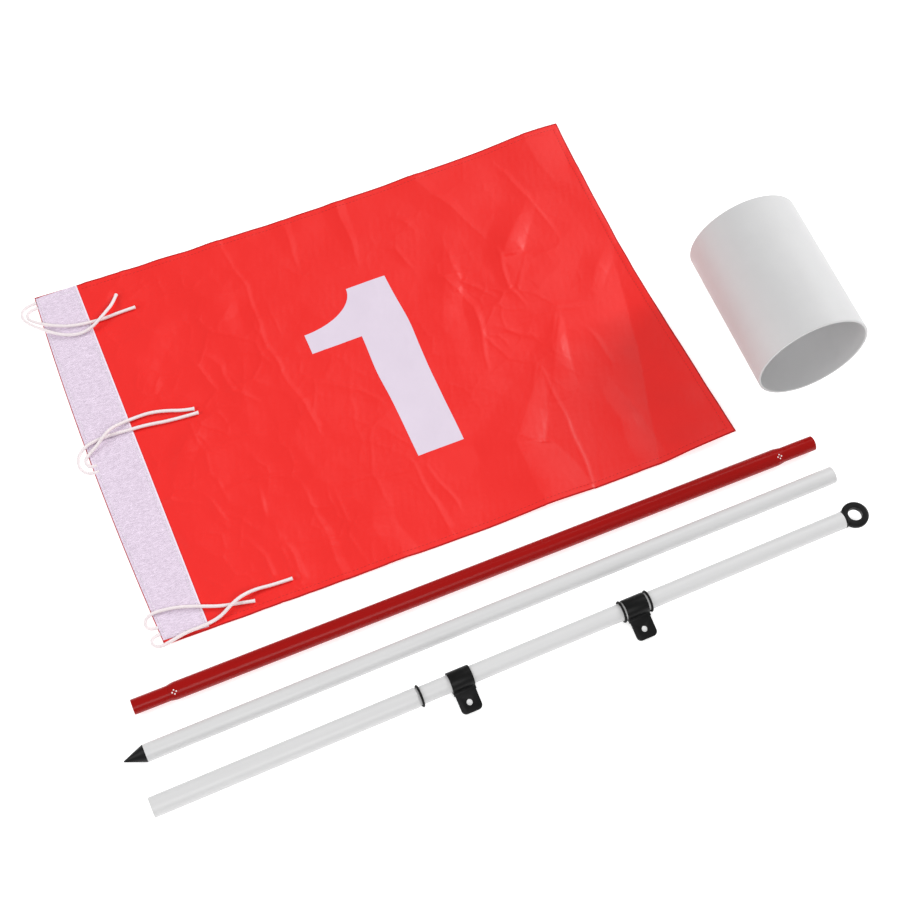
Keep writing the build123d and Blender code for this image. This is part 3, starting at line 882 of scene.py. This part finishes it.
def flag_path(corners):
    """Plan points along straight runs between corners given as (across, up) on the flag."""
    path = []
    for start, end in zip(corners, corners[1:]):
        for share in np.linspace(0, 1, HEM_ROW_STEPS, endpoint=False):
            path.append(flag_plan(*(a + (b - a) * share for a, b in zip(start, end))))
    path.append(flag_plan(*corners[-1]))
    return path


def hem_stitching(material):
    """The red lockstitch round the top, fly and bottom hems."""
    aside = HEM_ROW / FLAG_WIDTH
    above = HEM_ROW / FLAG_HEIGHT
    seam = (SEAM_X + HEADER_CLEARANCE - FLAG_LOW.x) / FLAG_WIDTH
    corners = [(seam, 1 - above), (1 - aside, 1 - above), (1 - aside, above), (seam, above)]
    return sewn("hem_stitching", [flag_path(corners)], HEM_THREAD_LIFT, "flag_fabric", material)


# --- header webbing ---
WEBBING_SETBACK = 0.0007
WEBBING_THICKNESS = 0.0011
WEBBING_SINK = 0.0002
SELVEDGE = 0.0014
SELVEDGE_EDGE = 0.0006
SELVEDGE_GROOVE = 0.00030
GROOVE_REACH = 0.0003
SIDE_ROLL = 0.0003
SIDE_SHARE = 0.06
SIDE_COLUMNS = 9
MIDDLE_COLUMNS = 26
TOP_END_GAPS = (0.0017, 0.0003)
BOTTOM_END_GAPS = (0.0042, 0.0022)

# The ribs, each of which wanders a little as it crosses the tape, and the yarns that cross the ribs.
RIB_PITCH = 0.0021
RIB_DEPTH = 0.00032
RIB_STEPS = 6
RIB_WANDER = 0.0005
RIB_WANDER_LENGTH = 0.0085
RIB_SWAY = 0.8
RIB_SWAY_LENGTH = 0.05
YARN_SHARE = 0.25
YARN_PITCH = 0.0042

# The rows that sew the tape down: how far in from its sides, and the shares of its height they run over.
SIDE_ROW_INSET = 0.0030
SIDE_ROW_SPAN = (0.006, 0.994)
END_ROWS = (0.016, 0.984)
SIDE_ROW_STEPS = 200
END_ROW_STEPS = 30


def header_plan(across, up):
    """Where a point of the header tape lies, 0 to 1 each way."""
    hoist = flag_plan(0, up)[0]
    edge = hoist + WEBBING_SETBACK
    x = edge + (SEAM_X - edge) * across
    return x, flag_plan((x - hoist) / (flag_plan(1, up)[0] - hoist), up)[1]


def rib_shape(x, y):
    """How far the ribs stand up, -1 to 1, with the yarns that cross them showing a little."""
    sway = RIB_SWAY * np.sin(2 * pi * y / RIB_SWAY_LENGTH)
    wander = RIB_WANDER * np.sin(2 * pi * x / RIB_WANDER_LENGTH + sway)
    yarn = np.sin(2 * pi * x / YARN_PITCH) * np.sin(pi * y / RIB_PITCH)
    return np.sin(2 * pi * (y + wander) / RIB_PITCH) * (1 - YARN_SHARE + YARN_SHARE * yarn)


def header_webbing(material):
    """The white tape on the hoist: ribbed, with a plain selvedge down each side and its ends askew."""
    rows = int(FLAG_HEIGHT / (RIB_PITCH / RIB_STEPS))
    side = np.linspace(0, SIDE_SHARE, SIDE_COLUMNS)
    middle = np.linspace(1.5 * SIDE_SHARE, 1 - 1.5 * SIDE_SHARE, MIDDLE_COLUMNS)
    across, share = np.meshgrid(np.concatenate([side, middle, 1 - side[::-1]]), np.linspace(0, 1, rows))
    low = np.interp(across, (0, 1), BOTTOM_END_GAPS) / FLAG_HEIGHT
    high = 1 - np.interp(across, (0, 1), TOP_END_GAPS) / FLAG_HEIGHT
    x, y = header_plan(across, low + (high - low) * share)
    from_side = np.minimum(across, 1 - across) * (SEAM_X - FLAG_LOW.x)
    ribs = RIB_DEPTH * rib_shape(x, y) * ease(from_side, SELVEDGE, SELVEDGE + SELVEDGE_EDGE)
    groove = np.exp(-((from_side - SELVEDGE - SELVEDGE_EDGE / 3) / GROOVE_REACH) ** 2)
    rolled = 1 - ease(from_side, 0, SELVEDGE_EDGE)
    base = cloth_height(x, y)
    top = base + WEBBING_THICKNESS + ribs - SELVEDGE_GROOVE * groove - SIDE_ROLL * rolled
    tape = add_slab("header_tape", x, y, top, base - WEBBING_SINK)
    return finish_piece(tape, "flag", "webbing", material, "header_webbing")


def header_stitching(material):
    """The white rows that sew the tape down along both its sides and across its ends."""
    inset = SIDE_ROW_INSET / (SEAM_X - FLAG_LOW.x)
    ups = np.linspace(*SIDE_ROW_SPAN, SIDE_ROW_STEPS)
    spots = np.linspace(inset, 1 - inset, END_ROW_STEPS)
    paths = [np.stack(header_plan(across, ups), axis=1) for across in (inset, 1 - inset)]
    paths += [np.stack(header_plan(spots, up), axis=1) for up in END_ROWS]
    return sewn("header_stitching", paths, WEBBING_THICKNESS, "webbing", material)


# --- numeral ---
NUMERAL_LOW, NUMERAL_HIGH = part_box("flag_numeral")
STEM_WIDTH = 0.0420
STEM_TOP_INSET = 0.0050
ARM_TOP = 0.1505
ARM_DEPTH = 0.0206
FILM_RISE = 0.00016
FILM_SINK = 0.00010
FILM_SHARP_ANGLE = 50
NUMERAL_CELL = 0.0020
CURVE_STEPS = 24

# Where each side of the stem bulges: how far, the middle of the bulge and its reach, up the numeral 0 to 1.
RIGHT_BULGE = (0.0022, 0.70, 0.16)
LEFT_BULGE = (-0.0015, 0.50, 0.14)


def numeral_outline():
    """The figure 1 as a loop of plan points, anticlockwise from its lower left corner."""
    left = NUMERAL_HIGH.x - STEM_WIDTH
    right = left + STEM_WIDTH
    bottom = NUMERAL_LOW.y
    arm_top = bottom + ARM_TOP
    curve_width = left + STEM_TOP_INSET - NUMERAL_LOW.x
    curve_height = NUMERAL_HIGH.y - arm_top
    points = [(left, bottom), (right, bottom), (right, NUMERAL_HIGH.y)]
    for turn in np.linspace(0, pi / 2, CURVE_STEPS + 1):
        points.append((
            NUMERAL_LOW.x + curve_width * cos(turn), NUMERAL_HIGH.y - curve_height * sin(turn),
        ))
    return points + [(NUMERAL_LOW.x, arm_top - ARM_DEPTH), (left, arm_top - ARM_DEPTH)]


def numeral_sway(x, y):
    """How far the stem is drawn sideways with the cloth: its right and left sides bulge apart."""
    across = np.clip((x - NUMERAL_HIGH.x) / STEM_WIDTH + 1, 0, 1)
    up = (y - NUMERAL_LOW.y) / (NUMERAL_HIGH.y - NUMERAL_LOW.y)
    bulges = (LEFT_BULGE, RIGHT_BULGE)
    left, right = (far * np.exp(-((up - middle) / reach) ** 2) for far, middle, reach in bulges)
    return left + (right - left) * across


def flag_numeral(material):
    """Thin film that follows every fold of the cloth under it."""
    bm = bmesh.new()
    bm.faces.new([bm.verts.new((x, y, 0)) for x, y in numeral_outline()])
    for axis, normal in enumerate((Vector((1, 0, 0)), Vector((0, 1, 0)))):
        for cut in np.arange(NUMERAL_LOW[axis] + NUMERAL_CELL, NUMERAL_HIGH[axis], NUMERAL_CELL):
            everything = bm.verts[:] + bm.edges[:] + bm.faces[:]
            bmesh.ops.bisect_plane(bm, geom=everything, plane_co=normal * cut, plane_no=normal)
    rest = np.array([tuple(v.co) for v in bm.verts])
    rest[:, 0] += numeral_sway(rest[:, 0], rest[:, 1])
    rest[:, 2] = cloth_height(rest[:, 0], rest[:, 1]) - FILM_SINK
    for vert, place in zip(bm.verts, rest):
        vert.co = place
    copied = bmesh.ops.extrude_face_region(bm, geom=bm.faces[:])
    for item in copied["geom"]:
        if isinstance(item, bmesh.types.BMVert):
            item.co.z += FILM_SINK + FILM_RISE
    bmesh.ops.recalc_face_normals(bm, faces=bm.faces[:])
    film = add_bmesh("numeral_film", bm)
    film.data.shade_smooth()
    film.data.set_sharp_from_angle(angle=radians(FILM_SHARP_ANGLE))
    return finish_piece(film, "flag", "numeral_film", material, "flag_numeral")


def build_flag():
    """The flag with all that is sewn and pressed onto it."""
    cloth = flag_cloth(satin_material())
    red_thread = thread_material("red_thread", (0.40, 0.006, 0.006), (0.56, 0.012, 0.010))
    white_thread = thread_material("white_thread", (0.74, 0.70, 0.76), (0.90, 0.88, 0.90))
    hem = hem_stitching(red_thread)
    tape = header_webbing(webbing_material())
    rows = header_stitching(white_thread)
    film = flag_numeral(film_material())


# --- poles ---
TUBE_RADIUS = (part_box("middle_pole_tube")[1].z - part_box("middle_pole_tube")[0].z) / 2
TUBE_BORE_RADIUS = 0.0062
SOCKET_RADIUS = 0.0065
SOCKET_DEPTH = 0.034
RIM_ROUND = 0.0004
FERRULE_RADIUS = 0.0064
FERRULE_BORE_RADIUS = 0.0054
FERRULE_HIDDEN = 0.040
FERRULE_PLAY = 0.00005
SPIGOT_RIM_ROUND = 0.0007
SPIGOT_LIP_ROUND = 0.0002
ROLLED_END_LENGTH = 0.005
ROLLED_END_STEP = 0.0002
ROLLED_END_ROUND = 0.006
CRIMP_SPREAD = 0.0021
CRIMP_DEPTH = 0.0007
CRIMP_ROUNDNESS = 1.5
CRIMP_INSET = 0.004
CRIMP_ANGLES = (117.0, 237.0, 357.0)
CRIMP_RINGS = 48
CRIMP_RINGS_REACH = 2.2 * CRIMP_INSET
# Painted highlights on the dent rims: how far out from each dent's centre they sit, and how far each
# spreads.
GLINT_OUT = 0.0017
GLINT_SPREAD = 0.00058
GLINT_SPOTS = ((GLINT_OUT, 0), (-GLINT_OUT, 0), (0, GLINT_OUT), (0, -GLINT_OUT))
THICK_RADIUS = 0.0083
THICK_LENGTH = 0.2208
STEP_LENGTH = 0.002
STEP_ROUND = 0.0015
TUBE_SEGMENTS = 96
RED_SEGMENTS = 144


def from_dents(x, across, up, length):
    """For each crimp dent: how far along and how far round the tube from its centre a place is."""
    radius = hypot(across, up)
    turn = atan2(up, across)
    for centre in (CRIMP_INSET, length - CRIMP_INSET):
        for angle in CRIMP_ANGLES:
            away = (turn - radians(angle) + pi) % (2 * pi) - pi
            yield x - centre, away * radius


def crimp(piece, length):
    """Press the round dents that hold the ferrules into both ends of the red tube, and paint highlights at
    four spots round each dent's rim.
    """
    mesh = piece.data
    for vert in mesh.vertices:
        x, across, up = vert.co
        radius = hypot(across, up)
        if radius < FERRULE_RADIUS + ROLLED_END_STEP / 2:
            continue
        for along, around in from_dents(x, across, up, length):
            distance = hypot(along, around)
            if distance < CRIMP_SPREAD:
                sink = CRIMP_DEPTH * (1 - (distance / CRIMP_SPREAD) ** 2) ** CRIMP_ROUNDNESS
                vert.co.y = across * (radius - sink) / radius
                vert.co.z = up * (radius - sink) / radius
    # Painted highlights: faces at four spots round each dent's rim take the near-white glint material in
    # slot 1.
    for face in mesh.polygons:
        for along, around in from_dents(*face.center, length):
            for glint in GLINT_SPOTS:
                if hypot(along - glint[0], around - glint[1]) < GLINT_SPREAD:
                    face.material_index = 1


def middle_tube(material):
    """The red tube: rolled down at both ends, smooth between."""
    matrix, length = axis_of("middle_pole_tube")
    rolled_radius = FERRULE_RADIUS + ROLLED_END_STEP
    corners = [
        (0, rolled_radius), (ROLLED_END_LENGTH, TUBE_RADIUS),
        (length - ROLLED_END_LENGTH, TUBE_RADIUS), (length, rolled_radius),
    ]
    outline = rounded(corners, {1: ROLLED_END_ROUND, 2: ROLLED_END_ROUND})
    rings = np.linspace(0, CRIMP_RINGS_REACH, CRIMP_RINGS)
    stations = sorted({0.0, length, *np.round(rings, 6), *np.round(length - rings, 6)})
    radii = np.interp(stations, *zip(*outline))
    profile = [(0, TUBE_BORE_RADIUS), *zip(stations, radii), (length, TUBE_BORE_RADIUS)]
    tube = lathe("red_tube", profile, RED_SEGMENTS, sharp_angle=60)
    finish_piece(tube, "middle_pole", "red_paint", material, "middle_pole_tube")
    # Slot 1 holds the painted highlights on the dent rims.
    tube.data.materials.append(dent_glint_material())
    crimp(tube, length)
    return put(tube, matrix)


def ferrules(material):
    """The two spigots, each with a rim turned in a little at its open end."""
    buried = TUBE_BORE_RADIUS - FERRULE_PLAY
    for end in ("low", "high"):
        node = "middle_ferrule_" + end
        matrix, length = axis_of(node)
        outline = [
            (0, FERRULE_BORE_RADIUS), (0, buried), (FERRULE_HIDDEN, buried),
            (FERRULE_HIDDEN, FERRULE_RADIUS), (length, FERRULE_RADIUS), (length, FERRULE_BORE_RADIUS),
        ]
        profile = rounded(outline, {4: SPIGOT_RIM_ROUND, 5: SPIGOT_LIP_ROUND})
        piece = lathe(end + "_spigot", profile, TUBE_SEGMENTS, sharp_angle=50)
        if end == "low":
            put(piece, Matrix.Translation((length, 0, 0)) @ Matrix.Rotation(pi, 4, "Z"))
        put(piece, matrix)
        finish_piece(piece, "middle_pole", "red_paint", material, node)


def white_tube(section, outline, rounds, matrix, material):
    """A white section of the pole, spun from its outline and put in its place."""
    tube = lathe(section + "_white_tube", rounded(outline, rounds), TUBE_SEGMENTS)
    put(tube, matrix)
    return finish_piece(tube, section + "_pole", "white_paint", material, section + "_pole_tube")


def lower_tube(material):
    """The plain tube, with a socket in its upper end."""
    matrix, length = axis_of("lower_pole_tube")
    seat = length - SOCKET_DEPTH
    outline = [
        (0, TUBE_BORE_RADIUS), (0, TUBE_RADIUS), (length, TUBE_RADIUS), (length, SOCKET_RADIUS),
        (seat, SOCKET_RADIUS), (seat, TUBE_BORE_RADIUS),
    ]
    rounds = {1: RIM_ROUND, 2: RIM_ROUND, 3: RIM_ROUND / 2}
    return white_tube("lower", outline, rounds, matrix, material)


def upper_tube(material):
    """The tube with a thick lower length, which steps down at the lower stop ring."""
    matrix, length = axis_of("upper_pole_tube")
    step = THICK_LENGTH + STEP_LENGTH
    outline = [
        (0, SOCKET_RADIUS), (0, THICK_RADIUS), (THICK_LENGTH, THICK_RADIUS), (step, TUBE_RADIUS),
        (length, TUBE_RADIUS), (length, TUBE_BORE_RADIUS), (SOCKET_DEPTH, TUBE_BORE_RADIUS),
        (SOCKET_DEPTH, SOCKET_RADIUS),
    ]
    rounds = {0: RIM_ROUND / 2, 1: RIM_ROUND, 2: STEP_ROUND, 3: STEP_ROUND, 4: RIM_ROUND / 2}
    return white_tube("upper", outline, rounds, matrix, material)


# --- black fittings ---
MOULDED_ROUND = 0.0004
STRAP_ROUND = 0.00028


def black_fittings():
    """The spike, the eye, the stop rings and the strap clips."""
    hard = black_material("hard_black", 0.0009, 0.00004, 0.34, 0.50)
    strap = black_material("strap_black", 0.0006, 0.00003, 0.30, 0.44)
    rubber = black_material("rubber_black", 0.0004, 0.00003, 0.50, 0.64)
    spike = softened("spike_tip", "spike_cone", MOULDED_ROUND)
    finish_piece(spike, "lower_pole", "black_plastic", hard, "spike_tip")
    eye = softened("eye_plug", "eye_moulding", MOULDED_ROUND)
    finish_piece(eye, "upper_pole", "black_plastic", hard, "eye_plug")
    for clip in ("lower_clip", "upper_clip"):
        finish_piece(softened(clip, clip + "_strap", STRAP_ROUND), clip, "black_strap", strap, clip)
    for ring in ("lower_stop_ring", "upper_stop_ring_low", "upper_stop_ring_high"):
        paint(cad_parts[ring], rubber)


# --- hole sleeve ---
SLEEVE_WALL = 0.0022
SLEEVE_LIP = 0.0008
SLEEVE_SEGMENTS = 192
MOUTH_SLICE = 0.004


def hole_sleeve(material):
    """The open plastic cup sleeve, its lips rounded over. It lies on its side, pointing mostly along Y."""
    low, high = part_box("cup_sleeve")
    radius = (high.z - low.z) / 2
    inner = radius - SLEEVE_WALL
    points = np.array([tuple(v.co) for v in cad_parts["cup_sleeve"].data.vertices])
    near = points[points[:, 1] < low.y + MOUTH_SLICE, 0]
    far = points[points[:, 1] > high.y - MOUTH_SLICE, 0]
    lean = (far.min() + far.max() - near.min() - near.max()) / 2
    way = Vector((lean, high.y - low.y, 0)).normalized()
    length = (high.y - low.y - 2 * radius * abs(way.x)) / way.y
    outline = [(0, inner), (0, radius), (length, radius), (length, inner)]
    sleeve = lathe("cup_wall", rounded(outline, dict.fromkeys(range(4), SLEEVE_LIP)), SLEEVE_SEGMENTS)
    upward = Vector((0, 0, 1))
    turn = Matrix((way, upward.cross(way), upward)).transposed().to_4x4()
    put(sleeve, Matrix.Translation((low + high) / 2 - way * length / 2) @ turn)
    return finish_piece(sleeve, "hole_sleeve", "white_plastic", material, "cup_sleeve")


# --- stage ---
FLOOR_DROP = 0.0001
FLOOR_HALF = 8.0
WORLD_STRENGTH = 0.40

# Each softbox: its place, its width and height, and its power in watts.
SOFTBOXES = {
    "key_box": ((5.0, 1.4, 2.8), (2.4, 2.4), 215),
    "fill_box": ((-2.4, 0.3, 1.9), (1.6, 1.4), 36),
    "front_box": ((-0.4, -2.1, 2.3), (2.0, 1.4), 30),
    "gloss_box": ((2.0, 2.28, 4.12), (1.6, 1.3), 14),
}


def add_floor():
    """The table under the layout."""
    ways = ((-1, -1), (1, -1), (1, 1), (-1, 1))
    corners = [(x * FLOOR_HALF, y * FLOOR_HALF, -FLOOR_DROP) for x, y in ways]
    floor = add_mesh("floor", corners, [(0, 1, 2, 3)])
    paint(floor, floor_material())


def add_softboxes():
    """Rectangular lamps that face the middle of the layout."""
    for name, (place, size, power) in SOFTBOXES.items():
        light = bpy.data.lights.new(name, "AREA")
        light.shape = "RECTANGLE"
        light.size, light.size_y = size
        light.energy = power
        aim(add_object(name, light), place, (0, 0, 0))


def add_world():
    """Even white light from all round."""
    world = bpy.data.worlds.new("studio")
    bpy.context.scene.world = world
    world.use_nodes = True
    background = world.node_tree.nodes["Background"]
    background.inputs["Color"].default_value = (1, 1, 1, 1)
    background.inputs["Strength"].default_value = WORLD_STRENGTH


# --- build ---
add_camera()
tie_cords(cord_material())
build_flag()
red = red_paint_material()
white = white_paint_material()
middle_tube(red)
ferrules(red)
lower_tube(white)
upper_tube(white)
black_fittings()
hole_sleeve(sleeve_material())
add_floor()
add_softboxes()
add_world()
bpy.context.scene.view_settings.view_transform = "Standard"
